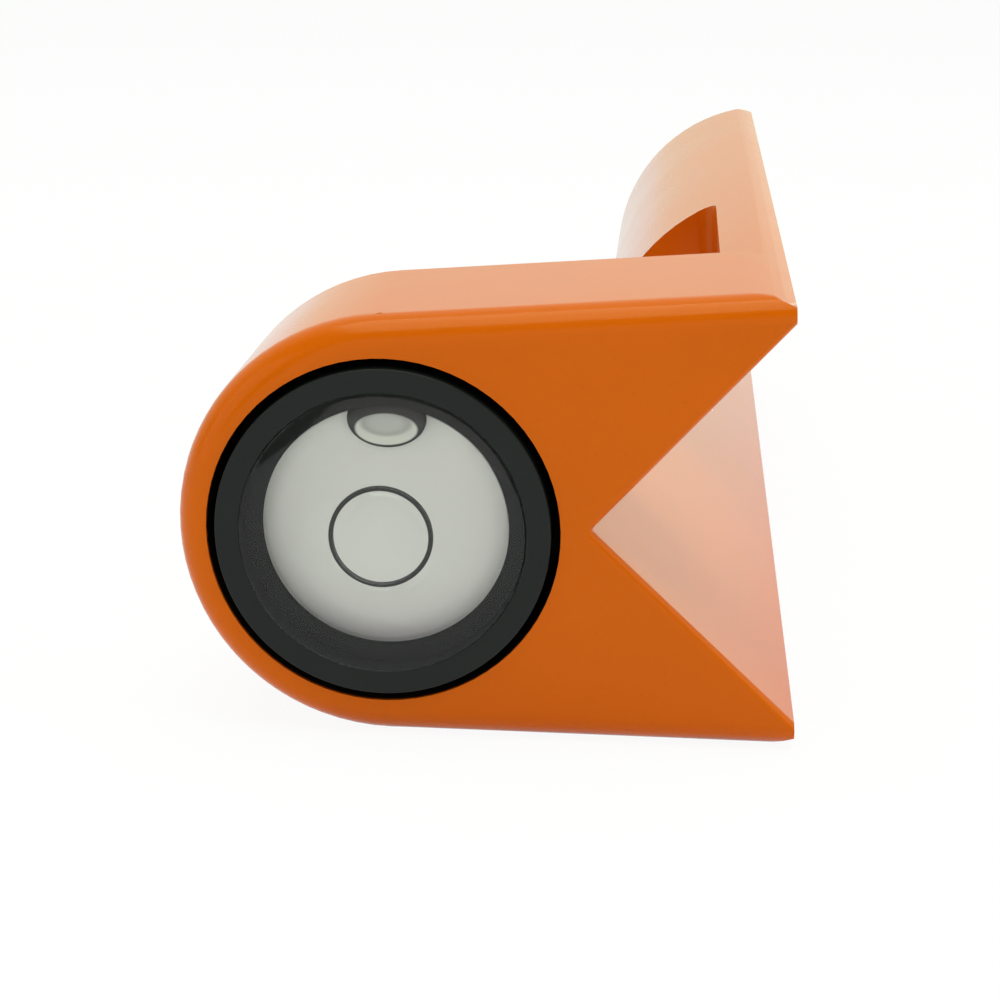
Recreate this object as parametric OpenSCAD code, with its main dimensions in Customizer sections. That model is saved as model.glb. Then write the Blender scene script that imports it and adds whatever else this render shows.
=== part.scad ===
// Right angle bubble level for poles and staves, lying on its side.
// X runs from the round nose to the groove's mouth, Y from the vial's face along the leg, Z up.

/* [Head] */
// Radius of the round nose
nose_r = 19.5; // [18.4:0.1:30]
// Width across the tips of the groove, where the head is widest
tip_w = 42; // [40:0.5:64]
// Distance from the nose's centre to the tips
tip_x = 36.2; // [34.5:0.1:60]
// Thickness of the head
head_t = 23.4; // [18:0.2:36]
// Radius of the rounded front rim
rim_r = 2.8; // [0.5:0.1:2.8]

/* [Leg and groove] */
// Length of the groove, from the head's face to the leg's end
leg_l = 143; // [130:1:260]
// Height of the step from the head's tips down to the leg's
leg_step = 0.1; // [0.05:0.05:0.8]
// Distance of the middle of the leg's round back beyond the tips
leg_over = 1.5; // [0:0.1:2]
// Radius of the rounded rim at the leg's end
end_r = 2; // [0.5:0.1:4]
// Depth of the V groove
v_depth = 18.1; // [8:0.1:18.4]
// Angle between the groove's faces
v_angle = 91; // [70:1:92]
// Radius at the bottom of the groove
v_root_r = 0.4; // [0.2:0.1:2]
// Radius of the rounded front edges of the groove
mouth_r = 0.9; // [0.3:0.1:1.2]
// Radius of the rounded outer edge along each tip
tip_r = 10; // [6:0.5:20]
// Distance from a tip at which its rounded edge starts
tip_run = 4.5; // [2:0.1:5]

/* [Strap slots] */
// Length of a strap slot, along the leg
slot_l = 37.4; // [10:0.2:38]
// Width of a strap slot, across the leg
slot_w = 10.9; // [6:0.1:11.4]
// Distance from the tips to a strap slot
slot_edge = 6.2; // [5:0.1:8]
// Corner radius of a strap slot
slot_r = 2; // [0.5:0.1:2.8]
// Distance from the head's back to the upper slot
slot_gap = 0.9; // [0.5:0.1:12]
// Distance from the lower slot to the leg's end
slot_end = 15.1; // [6:0.1:30]

/* [Vial pocket] */
// Diameter of the pocket in the head
pocket_d = 32; // [31.4:0.1:33.4]
// Distance of the vial's axis from the nose's centre, towards the nose
vial_shift = 0.6; // [0:0.1:1.6]
// Thickness of the web behind the vial
web_t = 3.2; // [2:0.1:5]
// Diameter of the hole in the web that reaches the filling screw
access_d = 6; // [4:0.5:7.5]
// Diameter of the hollow behind the web, for the screw heads
recess_d = 27; // [24:0.5:30]

/* [Vial] */
// Outer diameter of the vial's cup
cup_d = 30.6; // [29.6:0.1:31]
// Length of the cup
cup_l = 11.9; // [11:0.1:14]
// Height of the cup's face above the head's face
cup_proud = 0.9; // [0:0.1:2]
// Diameter of the lens
lens_d = 25.8; // [25:0.1:27]
// Thickness of the lens, at its middle
lens_t = 3.3; // [2.4:0.1:4.4]
// Radius of the lens's domed outer face
dome_r = 90; // [80:1:160]
// Height of the middle of the lens above the cup's face
dome_proud = 0.45; // [0.2:0.05:0.8]
// Thickness of the seal that the lens sits on
lens_seal_t = 0.3; // [0.2:0.05:0.5]
// Inner diameter of the lip that the lens sits on
lip_d = 22.5; // [20:0.1:23]
// Thickness of the lip
lip_t = 0.6; // [0.4:0.1:1]
// Diameter of the chamber that holds the liquid
chamber_d = 25; // [24:0.1:26]
// Depth of the liquid under the middle of the lens
liquid_h = 2.65; // [2.5:0.05:4]
// Outer diameter of the sighting ring
ring_d = 9.4; // [8:0.1:14]
// Width of the sighting ring's line
ring_w = 0.42; // [0.2:0.02:1]
// Depth of the sighting ring's inlay
ring_h = 0.25; // [0.1:0.05:0.5]
// Thickness of the white disc that is the chamber's floor
disc_t = 0.8; // [0.5:0.1:1.5]
// Width of the bubble
bubble_w = 7.2; // [4:0.1:8]
// Length of the bubble along its path
bubble_l = 5.2; // [3:0.1:5.4]
// Thickness of the bubble
bubble_t = 1.2; // [0.5:0.1:1.3]
// Thickness of the liquid under the bubble's path
film_t = 0.15; // [0.1:0.01:0.18]
// Length of the filling screw
fill_l = 3; // [2:0.1:4]
// Diameter of the filling screw
fill_d = 3; // [2:0.1:4]
// Diameter of the filling hole under the screw
fill_hole_d = 1.2; // [0.8:0.1:1.6]
// Thickness of the seal round the base plug
plug_seal_d = 1.24; // [1:0.02:1.6]

/* [Adjusting screws] */
// Diameter of the adjusting screws
screw_d = 3; // [2.5:0.1:3.5]
// Diameter of their circle
screw_pcd = 17; // [14:0.5:17]
// Depth of their threads in the base plug
screw_grip = 4; // [2:0.1:4.5]
// Diameter of their heads
screw_head_d = 5.5; // [4.5:0.1:6]
// Height of their heads
screw_head_h = 1.8; // [1.4:0.1:3]
// Width of the driver slot
driver_w = 0.8; // [0.5:0.1:1.2]
// Depth of the driver slot
driver_h = 0.9; // [0.5:0.1:1.2]
// Thickness of the washers
washer_t = 0.5; // [0.3:0.1:0.8]
// Diameter of the washers
washer_d = 6; // [5:0.1:6.5]
// Thickness of the rubber ring that the cup is adjusted against
seat_d = 0.8; // [0.6:0.05:1.2]

/* [Clearances] */
// Gap between the cup and the rubber ring, so that the cup can tilt
seat_gap = 0.3; // [0.2:0.05:0.5]
// Gap round the moving liquid and bubble
float_gap = 0.15; // [0.1:0.01:0.15]
// Gap round the sighting ring in its groove
ring_gap = 0.01; // [0.01:0.01:0.05]
// Gap round pieces that are set into another
set_gap = 0.05; // [0.02:0.01:0.1]
// Radial gap of an adjusting screw in its thread
thread_gap = 0.1; // [0.05:0.01:0.15]
// Radial gap of an adjusting screw in the web and in its washer
pass_gap = 0.2; // [0.15:0.05:0.4]

/* [Hidden] */
$fn = 96;
cut = 1;

// Plan of the head and leg, with the nose's centre at the origin
half_w = tip_w / 2;
apex_x = tip_x - v_depth;
v_half = v_angle / 2;
v_touch = v_root_r / tan(v_half);
v_root_x = apex_x + v_root_r / sin(v_half);
v_mouth = (v_depth + cut) / cos(v_half);
leg_x = tip_x + leg_over;
leg_r = norm([half_w - leg_step, leg_over]);
slot_x = tip_x - slot_edge - slot_w;
slot_upper_y = head_t + slot_gap;
slot_lower_y = leg_l - slot_end - slot_l;

// Each flat side runs from the nose to a tip, and slopes by this angle
side_angle = atan2(half_w, tip_x) - asin(nose_r / norm([half_w, tip_x]));
side_run = sqrt(pow(half_w, 2) + pow(tip_x, 2) - pow(nose_r, 2));

// Each tip's rounded edge is an arc that touches the side, and ends at this height
tip_arc = turn(side_angle, [side_run - tip_run, nose_r - tip_r]);
tip_z = tip_arc.y + sqrt(pow(tip_r, 2) - pow(tip_x - tip_arc.x, 2));

// Depths along Y, from the head's face backwards
face_y = -cup_proud;
dome_top_y = face_y - dome_proud;
dome_y = dome_top_y + dome_r;
floor_y = dome_top_y + lens_t + liquid_h;
disc_back_y = floor_y + disc_t;
cup_end = face_y + cup_l;
web_y = cup_end + seat_gap + seat_d;
recess_y = web_y + web_t;
head_y = recess_y + washer_t;
screw_tip_y = cup_end - screw_grip;
plug_groove_y = (disc_back_y + cup_end) / 2;

// Radii about the vial's axis
cup_r = cup_d / 2;
lens_r = lens_d / 2;
chamber_r = chamber_d / 2;
plug_r = chamber_r - set_gap;
lip_r = lip_d / 2;
boss_r = lip_r - set_gap;
under_r = dome_r - lens_t;
bubble_path_r = under_r - float_gap - bubble_t / 2;
bubble_rest = chamber_r - float_gap - bubble_l / 2;
bubble_tilt = asin(bubble_rest / bubble_path_r);
screw_angles = [90, 210, 330];
screw_circle_r = screw_pcd / 2;
screw_r = screw_d / 2;

// The lens's middle hangs through the lip, and its rim sits on a seal in front of the lip
boss_y = dome_y - sqrt(pow(under_r, 2) - pow(boss_r, 2));
lip_back_y = boss_y + float_gap;
lip_y = lip_back_y - lip_t;
rim_y = lip_y - lens_seal_t;

// The level lies on its lower side, with the origin under the middle of the whole
right_x = tip_x * cos(side_angle) + tip_z * sin(abs(side_angle));
mid_x = (right_x - nose_r) / 2;
mid_y = (leg_l + dome_top_y) / 2;

function turn(angle, point) = [
    point.x * cos(angle) - point.y * sin(angle),
    point.x * sin(angle) + point.y * cos(angle)
];

module placed() {
    translate([-mid_x, -mid_y, nose_r]) rotate([0, -side_angle, 0]) children();
}

module at_vial() {
    placed() translate([-vial_shift, 0, 0]) children();
}

// The liquid and the bubble follow what is up, and not the head
module at_vial_upright() {
    at_vial() rotate([0, side_angle, 0]) children();
}

// A flat outline in X and Z, carried along Y from one depth to another
module slab(from_y, to_y) {
    translate([0, to_y, 0]) rotate([90, 0, 0]) linear_extrude(to_y - from_y) children();
}

// A profile of radius against depth, turned about the Y axis
module turned() {
    rotate([-90, 0, 0]) rotate_extrude() children();
}

module ring_profile(inner_r, outer_r, from_y, to_y) {
    translate([inner_r, from_y]) square([outer_r - inner_r, to_y - from_y]);
}

module drilled(r, from_y, to_y) {
    slab(from_y, to_y) circle(r = r);
}

module at_screws(angles) {
    for (a = angles)
        translate([screw_circle_r * cos(a), 0, screw_circle_r * sin(a)]) children();
}

// Solids of the bracket

module head_outline() {
    touch = nose_r * [-sin(side_angle), cos(side_angle)];
    circle(r = nose_r);
    polygon([touch, [tip_x, half_w], [tip_x, -half_w], [touch.x, -touch.y]]);
}

module leg_outline() {
    intersection() {
        translate([leg_x, 0]) circle(r = leg_r);
        translate([leg_x - leg_r - cut, -leg_r]) square([leg_r + cut - leg_over, 2 * leg_r]);
    }
}

// The groove's faces meet in a round that touches both of them
module groove_outline() {
    translate([apex_x, 0]) polygon([
        for (run = [v_touch, v_mouth]) run * [cos(v_half), sin(v_half)],
        for (run = [v_mouth, v_touch]) run * [cos(v_half), -sin(v_half)]
    ]);
    translate([v_root_x, 0]) circle(r = v_root_r);
}

// What a rounded outer corner leaves empty, with the corner itself at the origin
module corner_waste(r) {
    difference() {
        translate([-r, -r]) square(r + cut);
        translate([-r, -r]) circle(r = r);
    }
}

// The rounded rim runs round the nose and out along both sides to the tips
module rim_round() {
    intersection() {
        turned() translate([nose_r, 0]) mirror([0, 1]) corner_waste(rim_r);
        translate([-tip_w, -cut, -tip_w]) cube([tip_w, rim_r + 2 * cut, 2 * tip_w]);
    }
    for (side = [0, 1])
        mirror([0, 0, side]) rotate([0, -side_angle, 0]) translate([0, 0, nose_r])
            rotate([90, 0, 90]) linear_extrude(tip_x + tip_w) mirror([1, 0]) corner_waste(rim_r);
}

// The groove's front edges are rounded from the bottom of the groove out to the tips
module mouth_round() {
    translate([v_root_x, 0, 0]) turned() intersection() {
        translate([v_root_r, 0]) rotate(180) corner_waste(mouth_r);
        translate([0, -cut]) square([v_root_r + mouth_r, cut + mouth_r]);
    }
    for (side = [0, 1])
        mirror([0, 0, side]) translate([apex_x, 0, 0]) rotate([0, -v_half, 0]) translate([v_touch, 0, 0])
            rotate([90, 0, 90]) linear_extrude(v_mouth) rotate(180) corner_waste(mouth_r);
}

// The outer edge of each tip is rounded, along the head and the leg
module tip_round() {
    slab(-cut, leg_l + cut)
        for (side = [0, 1])
            mirror([0, side]) rotate(side_angle) translate([side_run - tip_run + tip_r, nose_r])
                corner_waste(tip_r);
}

module end_round() {
    translate([leg_x, 0, 0]) turned() translate([leg_r, leg_l]) corner_waste(end_r);
}

module slot_plan() {
    translate([slot_r, 0]) square([slot_w - 2 * slot_r, slot_l]);
    translate([0, slot_r]) square([slot_w, slot_l - 2 * slot_r]);
    for (x = [slot_r, slot_w - slot_r])
        for (y = [slot_r, slot_l - slot_r])
            translate([x, y]) circle(r = slot_r);
}

module bracket() {
    color("DarkOrange") difference() {
        placed() difference() {
            union() {
                slab(0, head_t) head_outline();
                slab(head_t - cut, leg_l) leg_outline();
            }
            slab(-cut, leg_l + cut) groove_outline();
            rim_round();
            mouth_round();
            tip_round();
            end_round();
            translate([slot_x, slot_upper_y, 0]) linear_extrude(half_w + cut) slot_plan();
            translate([slot_x, slot_lower_y, -half_w - cut]) linear_extrude(half_w + cut) slot_plan();
        }
        at_vial() {
            drilled(pocket_d / 2, -cut, web_y);
            drilled(access_d / 2, -cut, head_t + cut);
            drilled(recess_d / 2, recess_y, head_t + cut);
            at_screws(screw_angles) drilled(screw_r + pass_gap, -cut, head_t + cut);
        }
    }
}

// Pieces of the vial

// The profile of a ball about the dome's centre, from the lens's top down to one depth
module dome_profile(ball_r, r, to_y) {
    intersection() {
        translate([0, dome_y]) circle(r = ball_r, $fn = 1440);
        ring_profile(0, r, dome_top_y - cut, to_y);
    }
}

module vial_cup() {
    color([0.17, 0.18, 0.18]) at_vial() turned() polygon([
        [lens_r + set_gap, face_y],
        [cup_r, face_y],
        [cup_r, cup_end],
        [chamber_r, cup_end],
        [chamber_r, lip_back_y],
        [lip_r, lip_back_y],
        [lip_r, lip_y],
        [lens_r + set_gap, lip_y]
    ]);
}

module lens_seal() {
    color([0.08, 0.08, 0.08]) at_vial() turned() ring_profile(lip_r, lens_r, rim_y, lip_y);
}

module ring_groove(gap, over) {
    difference() {
        dome_profile(dome_r + over, ring_d / 2 + gap, floor_y);
        dome_profile(dome_r - ring_h - gap, ring_d, floor_y + cut);
        ring_profile(-cut, ring_d / 2 - ring_w - gap, dome_top_y - 2 * cut, floor_y + cut);
    }
}

module lens() {
    color([0.85, 0.9, 0.9, 0.4]) at_vial() turned() difference() {
        union() {
            dome_profile(dome_r, lens_r, rim_y);
            dome_profile(dome_r, boss_r, boss_y);
        }
        dome_profile(under_r, lens_d, floor_y);
        ring_groove(ring_gap, cut);
    }
}

module sighting_ring() {
    color([0.1, 0.1, 0.1]) at_vial() turned() ring_groove(0, 0);
}

// The liquid is open along the path that the bubble takes across it
module spirit() {
    lane = bubble_w / 2 + float_gap;
    lane_floor = floor_y - float_gap - film_t;
    color([0.9, 0.93, 0.85, 0.3]) at_vial_upright() difference() {
        turned() {
            dome_profile(under_r - float_gap, lip_r - float_gap, floor_y - float_gap);
            ring_profile(0, chamber_r - float_gap, lip_back_y + float_gap, floor_y - float_gap);
        }
        translate([-lane, face_y, -cup_r]) cube([2 * lane, lane_floor - face_y, 2 * cup_r]);
    }
}

module bubble() {
    color([0.95, 0.97, 0.97, 0.5]) at_vial_upright()
        translate([0, dome_y, 0]) rotate([-bubble_tilt, 0, 0]) translate([0, -bubble_path_r, 0])
            scale([bubble_w / 2, bubble_t / 2, bubble_l / 2]) sphere(r = 1, $fn = 32);
}

module reflector_disc() {
    color("White") at_vial() drilled(plug_r, floor_y, disc_back_y);
}

module base_plug() {
    groove = plug_seal_d + 2 * set_gap;
    color([0.2, 0.21, 0.21]) at_vial() difference() {
        drilled(plug_r, disc_back_y, cup_end);
        turned()
            ring_profile(plug_r - plug_seal_d, cup_r, plug_groove_y - groove / 2, plug_groove_y + groove / 2);
        drilled(fill_hole_d / 2, disc_back_y - cut, cup_end);
        drilled(fill_d / 2 + set_gap, cup_end - fill_l, cup_end + cut);
        at_screws(screw_angles)
            drilled(screw_r + thread_gap, screw_tip_y - seat_gap, cup_end + cut);
    }
}

module plug_seal() {
    color([0.08, 0.08, 0.08]) at_vial()
        turned() translate([plug_r - plug_seal_d / 2, plug_groove_y]) circle(d = plug_seal_d, $fn = 32);
}

// A slotted cut across a screw's end, at one depth
module driver_cut(from_y, to_y, across) {
    translate([-across, from_y, -driver_w / 2]) cube([2 * across, to_y - from_y, driver_w]);
}

module fill_screw() {
    color("Goldenrod") at_vial() difference() {
        drilled(fill_d / 2, cup_end - fill_l, cup_end);
        driver_cut(cup_end - driver_h, cup_end + cut, fill_d);
    }
}

module seat_ring() {
    color([0.08, 0.08, 0.08]) at_vial()
        turned() translate([cup_r - seat_d, web_y - seat_d / 2]) circle(d = seat_d, $fn = 32);
}

module screw_washers() {
    color("Silver") at_vial() at_screws(screw_angles) difference() {
        drilled(washer_d / 2, recess_y, head_y);
        drilled(screw_r + pass_gap, recess_y - cut, head_y + cut);
    }
}

module adjusting_screw(angle) {
    color("Silver") at_vial() at_screws([angle]) difference() {
        union() {
            drilled(screw_r, screw_tip_y, head_y + set_gap);
            drilled(screw_head_d / 2, head_y, head_y + screw_head_h);
        }
        driver_cut(head_y + screw_head_h - driver_h, head_y + screw_head_h + cut, screw_head_d);
    }
}

module adjusting_screw_top() {
    adjusting_screw(screw_angles[0]);
}

module adjusting_screw_left() {
    adjusting_screw(screw_angles[1]);
}

module adjusting_screw_right() {
    adjusting_screw(screw_angles[2]);
}

bracket();
vial_cup();
lens_seal();
lens();
sighting_ring();
spirit();
bubble();
reflector_disc();
base_plug();
plug_seal();
fill_screw();
seat_ring();
screw_washers();
adjusting_screw_top();
adjusting_screw_left();
adjusting_screw_right();
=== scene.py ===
"""Right angle bubble level: an enamelled casting with a circular vial, lying on its side on white."""

import math

import bmesh
import bpy
from mathutils import Matrix, Vector


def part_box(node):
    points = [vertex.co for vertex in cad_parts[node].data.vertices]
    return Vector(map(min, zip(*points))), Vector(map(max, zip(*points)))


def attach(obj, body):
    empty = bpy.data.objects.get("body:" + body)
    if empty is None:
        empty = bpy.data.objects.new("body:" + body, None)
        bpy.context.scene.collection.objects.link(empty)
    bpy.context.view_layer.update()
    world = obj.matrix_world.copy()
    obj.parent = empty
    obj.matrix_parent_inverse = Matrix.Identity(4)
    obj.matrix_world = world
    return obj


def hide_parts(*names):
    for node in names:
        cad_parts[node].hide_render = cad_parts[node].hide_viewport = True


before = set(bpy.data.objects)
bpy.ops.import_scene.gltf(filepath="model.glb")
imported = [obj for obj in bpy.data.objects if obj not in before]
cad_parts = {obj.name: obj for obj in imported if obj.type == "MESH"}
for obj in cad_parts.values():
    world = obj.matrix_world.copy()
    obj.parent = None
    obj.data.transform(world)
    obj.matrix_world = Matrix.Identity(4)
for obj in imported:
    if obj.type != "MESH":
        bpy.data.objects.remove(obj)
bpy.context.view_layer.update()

MM = 0.001

# Gaps between the vial's pieces, and the thickness of the lip inside the cup
POCKET_GAP = 0.7 * MM
SET_GAP = 0.05 * MM
FLOAT_GAP = 0.15 * MM
LIP_THICKNESS = 0.6 * MM

# The vial's axis runs along Y; its middle and its face come from the CAD pieces
cup_low, cup_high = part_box("vial_cup")
lens_low, lens_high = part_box("lens")
seal_low, seal_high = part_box("lens_seal")
disc_low, disc_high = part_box("reflector_disc")
bubble_low, bubble_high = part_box("bubble")
spirit_low, spirit_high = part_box("spirit")
casting_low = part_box("bracket")[0]

VIAL = Vector(((cup_low[0] + cup_high[0]) / 2, casting_low[1], (cup_low[2] + cup_high[2]) / 2))
CUP_FACE = cup_low[1]
CUP_END = cup_high[1]
CUP_RADIUS = (cup_high[0] - cup_low[0]) / 2
LENS_RADIUS = (lens_high[0] - lens_low[0]) / 2
POCKET_RADIUS = CUP_RADIUS + POCKET_GAP
CHAMBER_RADIUS = (disc_high[0] - disc_low[0]) / 2 + SET_GAP
LIP_RADIUS = min((v.co - VIAL).xz.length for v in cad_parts["lens_seal"].data.vertices)
LIP_FRONT = seal_high[1]
LIP_BACK = LIP_FRONT + LIP_THICKNESS
BUBBLE = (Vector(bubble_low) + Vector(bubble_high)) / 2

# Angles between two faces: what counts as flat, and as a real corner
FLAT = math.radians(0.5)
CORNER = math.radians(30)
LENS_CORNER = math.radians(25)

# The casting's mesh: loops cut behind the front rounding and before the head's back keep the flats even
SUPPORTS = (casting_low[1] + 3.1 * MM, casting_low[1] + 23.0 * MM)
CASTING_WELD = 0.015 * MM
SEAM_WIDTH = 0.01 * MM
SEAM_REACH = 0.11 * MM
SLIVER_AREA = 0.06 * MM * MM

# Where the painted shade on the vial's pocket wall begins behind the head's face, and where it ends inside
# the web
POCKET_SHADE_EDGE = 0.1 * MM
POCKET_SHADE_START = (VIAL.y + 0.2 * MM, VIAL.y + 0.5 * MM)
POCKET_SHADE_END = (CUP_END + 2.5 * MM, CUP_END + 3.0 * MM)

# How the edges of the lens and the cup stand beside their solids
LENS_WELD = 0.002 * MM
LENS_RIM = 0.05 * MM
LENS_PROUD = 0.55 * MM
LENS_BEVEL = 0.2 * MM
SEAL_CLEARANCE = 0.03 * MM
FLANGE_SINK = 0.35 * MM
FLANGE_TRIM = 0.15 * MM
CUP_ROUND = 0.15 * MM
CLOSE = 0.01 * MM

# Turned pieces: how finely, and how far the liquid's domed top falls half-way out and at the lip
TURN_STEPS = 160
TURN_WELD = 0.001 * MM
HALFWAY_FALL = 0.18 * MM
LIP_FALL = 0.7 * MM

# The bubble's painted highlight ring and painted grey middle: half width, half height, and the drop from the
# bubble's own middle
PAINTED_HIGHLIGHT_RING = (2.75 * MM, 1.42 * MM, 0.85 * MM)
PAINTED_GREY_MIDDLE = (2.25 * MM, 1.15 * MM, 0.25 * MM)

# Where the photograph was taken from, measured from the vial's middle on the head's face
CAMERA_PLACE = Vector((24.83, -194.73, 60.84)) * MM
CAMERA_AIM = Vector((10.53, 0.0, 3.455)) * MM
CAMERA_ROLL = math.radians(0.74)
CAMERA_LENS = 82.48
CAMERA_SENSOR = 36
CAMERA_NEAR = 10 * MM

# Studio light: how bright the backdrop is in front, behind and low on the right, and where each part fades in
FRONT_LIGHT = 0.1
BACK_LIGHT = 1.09
LOW_RIGHT_LIGHT = 1.75
BACK_FADE = (-0.3, 0.5)
LOW_FADE = (0.03, 0.16)
RIGHT_FADE = (0.05, 0.2)
BACKDROP = (0.88, 1.0, 0.81, 1)
WHITE = (1, 1, 1, 1)

# The floor: its paper's two greys, and the glow that the camera and reflections see, tinted far behind
FLOOR_SIZE = 3
PAPER = ((0.88, 0.88, 0.88, 1), (0.92, 0.92, 0.92, 1))
FLOOR_GLOW = 0.93
FLOOR_FADE = (0.0, 0.15)
FAR_FLOOR = (1.0, 1.25, 1.25, 1)

# Lamps: name, place, size, watts and colour
LAMPS = (
    ("overhead", (0.0, -0.12, 0.7), 0.6, 4.2, (0.86, 1.0, 0.86)),
    ("front", (0.1, -1.0, 0.15), 1.0, 3.3, (1.0, 0.93, 0.95)),
    ("left", (-0.6, -0.4, 0.25), 0.5, 0.9, (1.0, 0.95, 0.95)),
    ("right", (0.65, -0.15, 0.3), 0.5, 1.2, (1.0, 1.0, 0.95)),
)


class Value:
    """A shader value: arithmetic on it adds Math nodes."""

    def __init__(self, finish, socket):
        self.finish = finish
        self.socket = socket

    def maths(self, operation, *terms):
        return self.finish.node("ShaderNodeMath", dict(enumerate(terms)), operation=operation)

    def __add__(self, other):
        return self.maths("ADD", self, other)

    __radd__ = __add__

    def __mul__(self, other):
        return self.maths("MULTIPLY", self, other)

    __rmul__ = __mul__

    def __sub__(self, other):
        return self.maths("SUBTRACT", self, other)

    def __rsub__(self, other):
        return self.maths("SUBTRACT", other, self)

    def band(self, start, end):
        """0 up to start, 1 from end on, and smooth between them."""
        sockets = {"Value": self, "From Min": start, "From Max": end}
        return self.finish.node("ShaderNodeMapRange", sockets, interpolation_type="SMOOTHSTEP")


class Finish:
    """A material, or the world, whose nodes are added one by one."""

    def __init__(self, owner, coordinates="Object", output="ShaderNodeOutputMaterial"):
        self.owner = owner
        self.output = output
        owner.use_nodes = True
        self.tree = owner.node_tree
        self.tree.nodes.clear()
        self.place = self.node("ShaderNodeTexCoord", out=coordinates)

    @classmethod
    def named(cls, name):
        return cls(bpy.data.materials.new(name))

    def node(self, kind, sockets=None, out=0, **settings):
        """Adds a node with its settings and sockets, and gives one of its outputs."""
        made = self.tree.nodes.new(kind)
        for name, setting in settings.items():
            setattr(made, name, setting)
        for name, value in (sockets or {}).items():
            if isinstance(value, Value):
                self.tree.links.new(value.socket, made.inputs[name])
            else:
                made.inputs[name].default_value = value
        return None if out is None else Value(self, made.outputs[out])

    def noise(self, size, detail, stretch=None):
        """Noise whose lumps are about the size given, in metres."""
        place = self.place
        if stretch:
            place = self.node("ShaderNodeMapping", {"Vector": place, "Scale": stretch})
        sockets = {"Vector": place, "Scale": 1 / size, "Detail": detail}
        return self.node("ShaderNodeTexNoise", sockets, out="Fac")

    def away_from(self, point, stretch):
        """Distance from a point, in metres, measured after a stretch of each axis."""
        offset = tuple(-p * s for p, s in zip(point, stretch))
        moved = self.node("ShaderNodeMapping", {"Vector": self.place, "Scale": stretch, "Location": offset})
        return self.node("ShaderNodeVectorMath", {0: moved}, out="Value", operation="LENGTH")

    def mix(self, share, first, second):
        """One colour turning into another."""
        ends = {"Factor": share, 6: first, 7: second}
        return self.node("ShaderNodeMix", ends, out=2, data_type="RGBA")

    def bump(self, height, depth, normal=None):
        """A dented normal, on top of another one where that is given."""
        sockets = {"Height": height, "Distance": depth, "Strength": 1.0}
        if normal:
            sockets["Normal"] = normal
        return self.node("ShaderNodeBump", sockets, out="Normal")

    def surface(self, shader):
        self.node(self.output, {"Surface": shader}, out=None)
        return self.owner

    def principled(self, **sockets):
        named = {name.replace("_", " "): value for name, value in sockets.items()}
        return self.surface(self.node("ShaderNodeBsdfPrincipled", named))


def rgb(red, green, blue):
    """A linear colour from the sRGB values that a picture shows."""
    linear = []
    for level in (red / 255, green / 255, blue / 255):
        linear.append(level / 12.92 if level <= 0.04045 else ((level + 0.055) / 1.055) ** 2.4)
    return (*linear, 1)


def orange_enamel():
    """Glossy enamel over a casting, with the vial's pocket wall painted near black and dull as painted shade
    in the gap round the vial.
    """
    enamel = Finish.named("orange_enamel")
    cloud = enamel.noise(14 * MM, 3)
    speck = enamel.noise(0.5 * MM, 2)
    peel = enamel.noise(1.6 * MM, 2)
    cast = enamel.noise(7 * MM, 2)
    body = enamel.mix(cloud, rgb(201, 89, 3), rgb(208, 94, 5))
    paint = enamel.mix(speck.band(0.66, 0.74) * 0.2, body, rgb(180, 80, 12))
    # Painted shade: the pocket's wall round the vial turns near black and dull
    inside = 1 - enamel.away_from(VIAL, (1, 0, 1)).band(POCKET_RADIUS, POCKET_RADIUS + POCKET_SHADE_EDGE)
    depth = enamel.node("ShaderNodeSeparateXYZ", {0: enamel.place}, out="Y")
    behind_face = depth.band(*POCKET_SHADE_START)
    behind_web = depth.band(*POCKET_SHADE_END)
    pocket_shade = inside * behind_face * (1 - behind_web)
    return enamel.principled(
        Base_Color=enamel.mix(pocket_shade, paint, rgb(24, 21, 18)),
        Roughness=0.14 + 0.06 * cloud + 0.4 * pocket_shade,
        IOR=1.25,
        Specular_Tint=(1.0, 1.0, 0.6, 1),
        Normal=enamel.bump(peel, 0.005 * MM, enamel.bump(cast, 0.03 * MM)),
    )


def black_plastic():
    """The cup's moulded plastic, with a fine grain."""
    plastic = Finish.named("black_plastic")
    grain = plastic.noise(0.5 * MM, 2)
    cloud = plastic.noise(6 * MM, 2)
    return plastic.principled(
        Base_Color=plastic.mix(cloud, rgb(19, 23, 22), rgb(24, 28, 27)),
        Roughness=0.4 + 0.1 * grain,
        IOR=1.3,
        Normal=plastic.bump(grain, 0.002 * MM),
    )


def black_rubber():
    """The seals' dull rubber."""
    rubber = Finish.named("black_rubber")
    grain = rubber.noise(0.3 * MM, 2)
    return rubber.principled(
        Base_Color=rubber.mix(grain, rgb(12, 16, 15), rgb(16, 20, 19)),
        Roughness=0.6 + 0.1 * grain,
        IOR=1.3,
    )


def black_ink():
    """The printed sighting circle."""
    ink = Finish.named("black_ink")
    grain = ink.noise(0.25 * MM, 2)
    return ink.principled(
        Base_Color=ink.mix(grain, rgb(8, 8, 7), rgb(18, 18, 16)),
        Roughness=0.5 + 0.2 * grain,
    )


def white_plastic():
    """The disc that shows pale behind the liquid."""
    plastic = Finish.named("white_plastic")
    cloud = plastic.noise(5 * MM, 2)
    return plastic.principled(
        Base_Color=plastic.mix(cloud, rgb(244, 238, 243), rgb(248, 242, 247)),
        Roughness=0.5 + 0.1 * cloud,
    )


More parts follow.
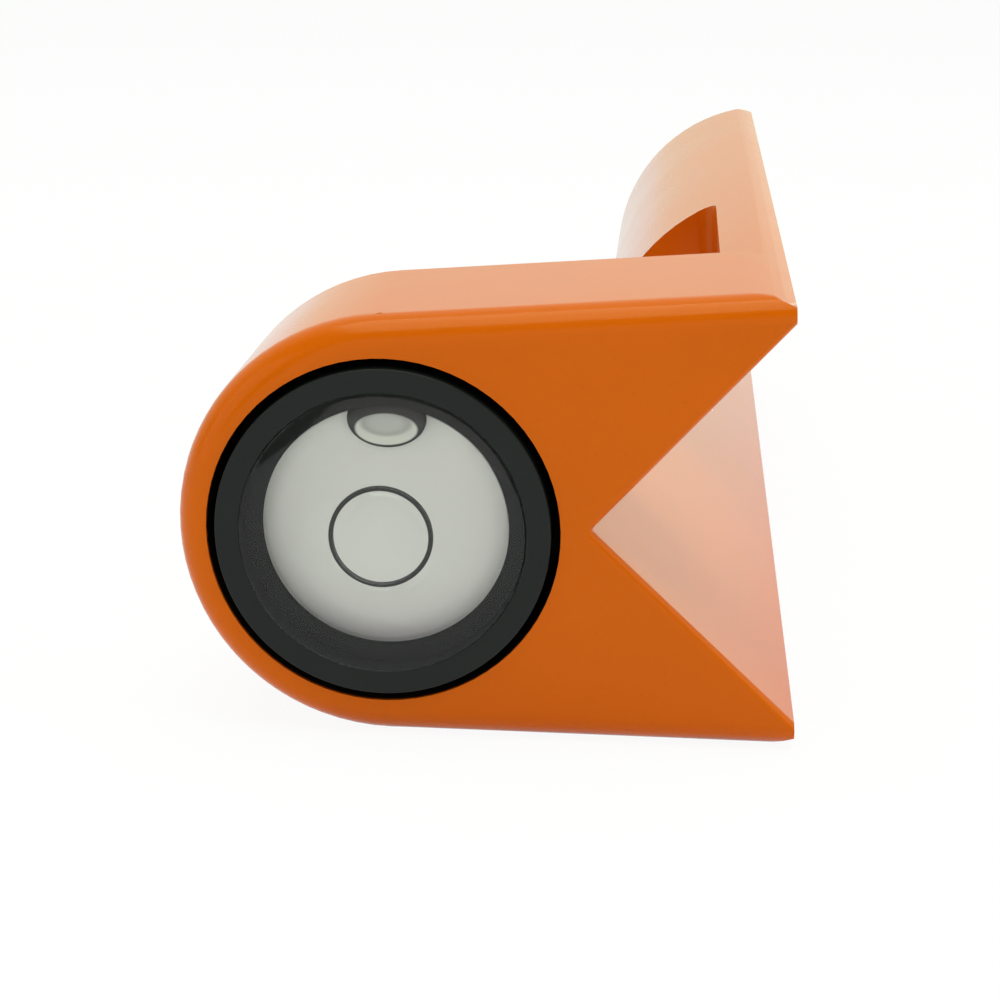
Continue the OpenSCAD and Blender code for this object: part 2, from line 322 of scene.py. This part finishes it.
def clear(name, index, tint):
    """A clear solid or liquid: what is behind it shows, and its surface shines at a slant."""
    glass = Finish.named(name)
    smear = glass.noise(3 * MM, 2)
    through = glass.node("ShaderNodeBsdfTransparent", {"Color": tint})
    gloss = glass.node("ShaderNodeBsdfGlossy", {"Color": WHITE, "Roughness": 0.05 + 0.06 * smear})
    outside = 1 - glass.node("ShaderNodeNewGeometry", out="Backfacing")
    slant = glass.node("ShaderNodeFresnel", {"IOR": index}) * outside
    return glass.surface(glass.node("ShaderNodeMixShader", {0: slant, 1: through, 2: gloss}))


def bubble_oval(air, half_width, half_height, drop):
    """0 at the middle of an upright oval in the bubble, and 1 on its edge."""
    return air.away_from(BUBBLE - Vector((0, 0, drop)), (1 / half_width, 0, 1 / half_height))


def air_bubble():
    """A bubble pressed against the lens, with the light bent through it painted on: a painted dark edge, a
    painted highlight ring and a painted grey middle.
    """
    air = Finish.named("air_bubble")
    cloud = air.noise(1.2 * MM, 2)
    ring = bubble_oval(air, *PAINTED_HIGHLIGHT_RING)
    core = bubble_oval(air, *PAINTED_GREY_MIDDLE)
    # Painted shade round the edge, a painted highlight ring and a painted grey middle stand in for light bent
    # through the bubble
    edge = ring.band(0.96, 1.08)
    bright = core.band(0.9, 1.2)
    middle = air.mix(core.band(0.5, 0.95), rgb(194, 192, 192), rgb(176, 174, 172))
    colour = air.mix(edge, air.mix(bright, middle, rgb(226, 223, 221)), rgb(8, 10, 7))
    return air.principled(
        Base_Color=colour,
        Roughness=0.4 + 0.1 * cloud,
        Alpha=0.9 + 0.1 * edge,
    )


def turned_metal(name, dark, pale, roughness):
    """Plated or bare metal with fine turning marks."""
    metal = Finish.named(name)
    marks = metal.noise(0.4 * MM, 3, stretch=(1, 0.1, 1))
    cloud = metal.noise(2.5 * MM, 2)
    return metal.principled(
        Base_Color=metal.mix(cloud, dark, pale),
        Metallic=1.0,
        Roughness=roughness + 0.18 * marks,
        Normal=metal.bump(marks, 0.01 * MM),
    )


def finished(name, shape, material, body, node):
    """Makes a piece from a bmesh, attaches it to the body it moves with, and hides the CAD node it stands
    for.
    """
    mesh = bpy.data.meshes.new(name)
    shape.to_mesh(mesh)
    shape.free()
    mesh.materials.append(material)
    piece = bpy.data.objects.new(name, mesh)
    bpy.context.collection.objects.link(piece)
    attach(piece, body)
    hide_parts(node)
    return piece


def evenly_shaded(piece):
    """Lets a piece's large faces set the shading."""
    shading = piece.modifiers.new("even shading", "WEIGHTED_NORMAL")
    shading.mode = "FACE_AREA"
    shading.keep_sharp = True


def softened(piece, width, segments):
    """Rounds a piece's sharp edges, and shades it smooth."""
    piece.data.shade_smooth()
    rounding = piece.modifiers.new("rounded edges", "BEVEL")
    rounding.width = width
    rounding.segments = segments
    rounding.limit_method = "ANGLE"
    rounding.angle_limit = CORNER
    evenly_shaded(piece)


def merged_copy(node, closeness):
    """A CAD piece's own mesh, with its points joined up and its flats made whole."""
    shape = bmesh.new()
    shape.from_mesh(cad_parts[node].data)
    bmesh.ops.remove_doubles(shape, verts=shape.verts, dist=closeness)
    bmesh.ops.dissolve_limit(shape, angle_limit=FLAT, verts=shape.verts, edges=shape.edges)
    return shape


def casting(material):
    """The bracket, shaded smooth over its roundings and sharp at its real corners."""
    shape = merged_copy("bracket", CASTING_WELD)

    # Where the front rounding's bends meet its straights, the two sides of a hair-thin seam become one
    seams = [
        vert for vert in shape.verts
        if vert.co.y < SUPPORTS[0]
        and any(face.calc_area() < SEAM_WIDTH * face.calc_perimeter() for face in vert.link_faces)
    ]
    bmesh.ops.remove_doubles(shape, verts=seams, dist=SEAM_REACH)
    for depth in SUPPORTS:
        everything = shape.verts[:] + shape.edges[:] + shape.faces[:]
        bmesh.ops.bisect_plane(
            shape, geom=everything, dist=CLOSE, plane_co=(0, depth, 0), plane_no=(0, 1, 0)
        )
    shape.normal_update()
    for face in shape.faces:
        face.smooth = True
    for edge in shape.edges:
        corner = edge.calc_face_angle(0) > CORNER
        sliver = min(face.calc_area() for face in edge.link_faces) < SLIVER_AREA
        edge.smooth = sliver or not corner
    piece = finished("casting", shape, material, "bracket", "bracket")
    evenly_shaded(piece)


def window(material):
    """The lens, with its front raised and bevelled, a hair's breadth off the seal that it sits on."""
    shape = merged_copy("lens", LENS_WELD)
    rim = [
        edge for edge in shape.edges
        if all((v.co - VIAL).xz.length > LENS_RADIUS - LENS_RIM and v.co.y < VIAL.y for v in edge.verts)
    ]
    for vert in shape.verts:
        if vert.co.y < VIAL.y:
            vert.co.y -= LENS_PROUD
        elif abs(vert.co.y - seal_low[1]) < CLOSE:
            vert.co.y -= SEAL_CLEARANCE
    bmesh.ops.bevel(
        shape, geom=rim, offset=LENS_BEVEL, segments=2, profile=0.5, affect="EDGES", material=-1
    )
    piece = finished("window", shape, material, "vial", "lens")
    piece.data.shade_smooth()
    piece.data.set_sharp_from_angle(angle=LENS_CORNER)


def spun(profile):
    """A closed profile of radius and depth, turned about the vial's axis."""
    shape = bmesh.new()
    points = [shape.verts.new((VIAL.x + radius, depth, VIAL.z)) for radius, depth in profile]
    edges = [shape.edges.new(pair) for pair in zip(points, points[1:] + points[:1])]
    bmesh.ops.spin(
        shape, geom=points + edges, cent=VIAL, axis=(0, 1, 0),
        angle=math.tau, steps=TURN_STEPS, use_merge=True,
    )
    bmesh.ops.remove_doubles(shape, verts=shape.verts, dist=TURN_WELD)
    bmesh.ops.recalc_face_normals(shape, faces=shape.faces)
    return shape


def cup(material):
    """The vial's black cup, with softened edges round its face and its lip."""
    flange = CUP_FACE + FLANGE_SINK
    outer = CUP_RADIUS - FLANGE_TRIM
    seat = LENS_RADIUS + SET_GAP
    profile = [
        (seat, flange),
        (outer, flange),
        (outer, CUP_END),
        (CHAMBER_RADIUS, CUP_END),
        (CHAMBER_RADIUS, LIP_BACK),
        (LIP_RADIUS, LIP_BACK),
        (LIP_RADIUS, LIP_FRONT),
        (seat, LIP_FRONT),
    ]
    piece = finished("cup", spun(profile), material, "vial", "vial_cup")
    softened(piece, CUP_ROUND, 3)


def liquid(material):
    """The clear liquid that fills the chamber, round the lip and under the lens."""
    profile = [
        (0, spirit_low[1]),
        (LIP_RADIUS / 2, spirit_low[1] + HALFWAY_FALL),
        (LIP_RADIUS - FLOAT_GAP, spirit_low[1] + LIP_FALL),
        (LIP_RADIUS - FLOAT_GAP, LIP_BACK + FLOAT_GAP),
        (CHAMBER_RADIUS - FLOAT_GAP, LIP_BACK + FLOAT_GAP),
        (CHAMBER_RADIUS - FLOAT_GAP, spirit_high[1]),
        (0, spirit_high[1]),
    ]
    finished("liquid", spun(profile), material, "spirit", "spirit")


def dressed(node, material):
    """Gives a CAD piece its finish."""
    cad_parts[node].data.materials.clear()
    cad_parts[node].data.materials.append(material)


def studio():
    """A pale floor, a backdrop that is brighter behind than in front, and four soft lamps."""
    scene = bpy.context.scene
    scene.view_settings.view_transform = "Standard"

    floor = Finish.named("floor_paper")
    fibre = floor.noise(2 * MM, 2)
    paper = floor.node("ShaderNodeBsdfDiffuse", {"Color": floor.mix(fibre, *PAPER)})
    behind = floor.node("ShaderNodeSeparateXYZ", {0: floor.place}, out="Y").band(*FLOOR_FADE)
    mirrored = floor.mix(behind, WHITE, FAR_FLOOR)
    camera_ray = floor.node("ShaderNodeLightPath", out="Is Camera Ray")
    glossy_ray = floor.node("ShaderNodeLightPath", out="Is Glossy Ray")
    seen = camera_ray.maths("MAXIMUM", camera_ray, glossy_ray) * FLOOR_GLOW
    glow = floor.node("ShaderNodeEmission", {
        "Color": floor.mix(camera_ray, mirrored, WHITE),
        "Strength": 1.0,
    })
    shape = bmesh.new()
    bmesh.ops.create_grid(shape, x_segments=8, y_segments=8, size=FLOOR_SIZE)
    mesh = bpy.data.meshes.new("floor")
    shape.to_mesh(mesh)
    shape.free()
    mesh.materials.append(floor.surface(floor.node("ShaderNodeMixShader", {0: seen, 1: paper, 2: glow})))
    sheet = bpy.data.objects.new("floor", mesh)
    bpy.context.collection.objects.link(sheet)

    scene.world = bpy.data.worlds.new("studio")
    sky = Finish(scene.world, "Generated", "ShaderNodeOutputWorld")
    behind = sky.node("ShaderNodeSeparateXYZ", {0: sky.place}, out="Y").band(*BACK_FADE)
    low = 1 - sky.node("ShaderNodeSeparateXYZ", {0: sky.place}, out="Z").band(*LOW_FADE)
    right = sky.node("ShaderNodeSeparateXYZ", {0: sky.place}, out="X").band(*RIGHT_FADE)
    back = BACK_LIGHT + (LOW_RIGHT_LIGHT - BACK_LIGHT) * low * right
    camera_ray = sky.node("ShaderNodeLightPath", out="Is Camera Ray")
    level = FRONT_LIGHT + (back - FRONT_LIGHT) * behind
    sky.surface(sky.node("ShaderNodeBackground", {
        "Color": sky.mix(camera_ray, BACKDROP, WHITE),
        "Strength": level + camera_ray * (1 - level),
    }))

    for name, place, size, power, colour in LAMPS:
        lamp = bpy.data.lights.new(name, "AREA")
        lamp.size = size
        lamp.energy = power
        lamp.color = colour
        light = bpy.data.objects.new(name, lamp)
        light.location = place
        light.rotation_euler = (VIAL - Vector(place)).to_track_quat("-Z", "Y").to_euler()
        bpy.context.collection.objects.link(light)


def photographer():
    """The photograph's own viewpoint."""
    lens = bpy.data.cameras.new("camera")
    lens.lens = CAMERA_LENS
    lens.sensor_width = CAMERA_SENSOR
    lens.clip_start = CAMERA_NEAR
    camera = bpy.data.objects.new("camera", lens)
    camera.location = VIAL + CAMERA_PLACE
    turn = (CAMERA_AIM - CAMERA_PLACE).to_track_quat("-Z", "Y").to_matrix()
    camera.rotation_euler = (turn @ Matrix.Rotation(CAMERA_ROLL, 3, "Z")).to_euler()
    bpy.context.collection.objects.link(camera)
    bpy.context.scene.camera = camera


enamel = orange_enamel()
plastic = black_plastic()
rubber = black_rubber()
steel = turned_metal("zinc_steel", rgb(170, 172, 174), rgb(205, 206, 206), 0.28)
brass = turned_metal("turned_brass", rgb(190, 150, 80), rgb(222, 184, 112), 0.25)

casting(enamel)
cup(plastic)
liquid(clear("clear_spirit", 1.04, (0.985, 0.99, 0.98, 1)))
dressed("base_plug", plastic)
dressed("lens_seal", rubber)
dressed("plug_seal", rubber)
dressed("seat_ring", rubber)
window(clear("clear_acrylic", 1.36, (0.99, 0.995, 0.99, 1)))
dressed("sighting_ring", black_ink())
dressed("bubble", air_bubble())
dressed("reflector_disc", white_plastic())
dressed("fill_screw", brass)
for node in ("screw_washers", "adjusting_screw_top", "adjusting_screw_left", "adjusting_screw_right"):
    dressed(node, steel)

studio()
photographer()
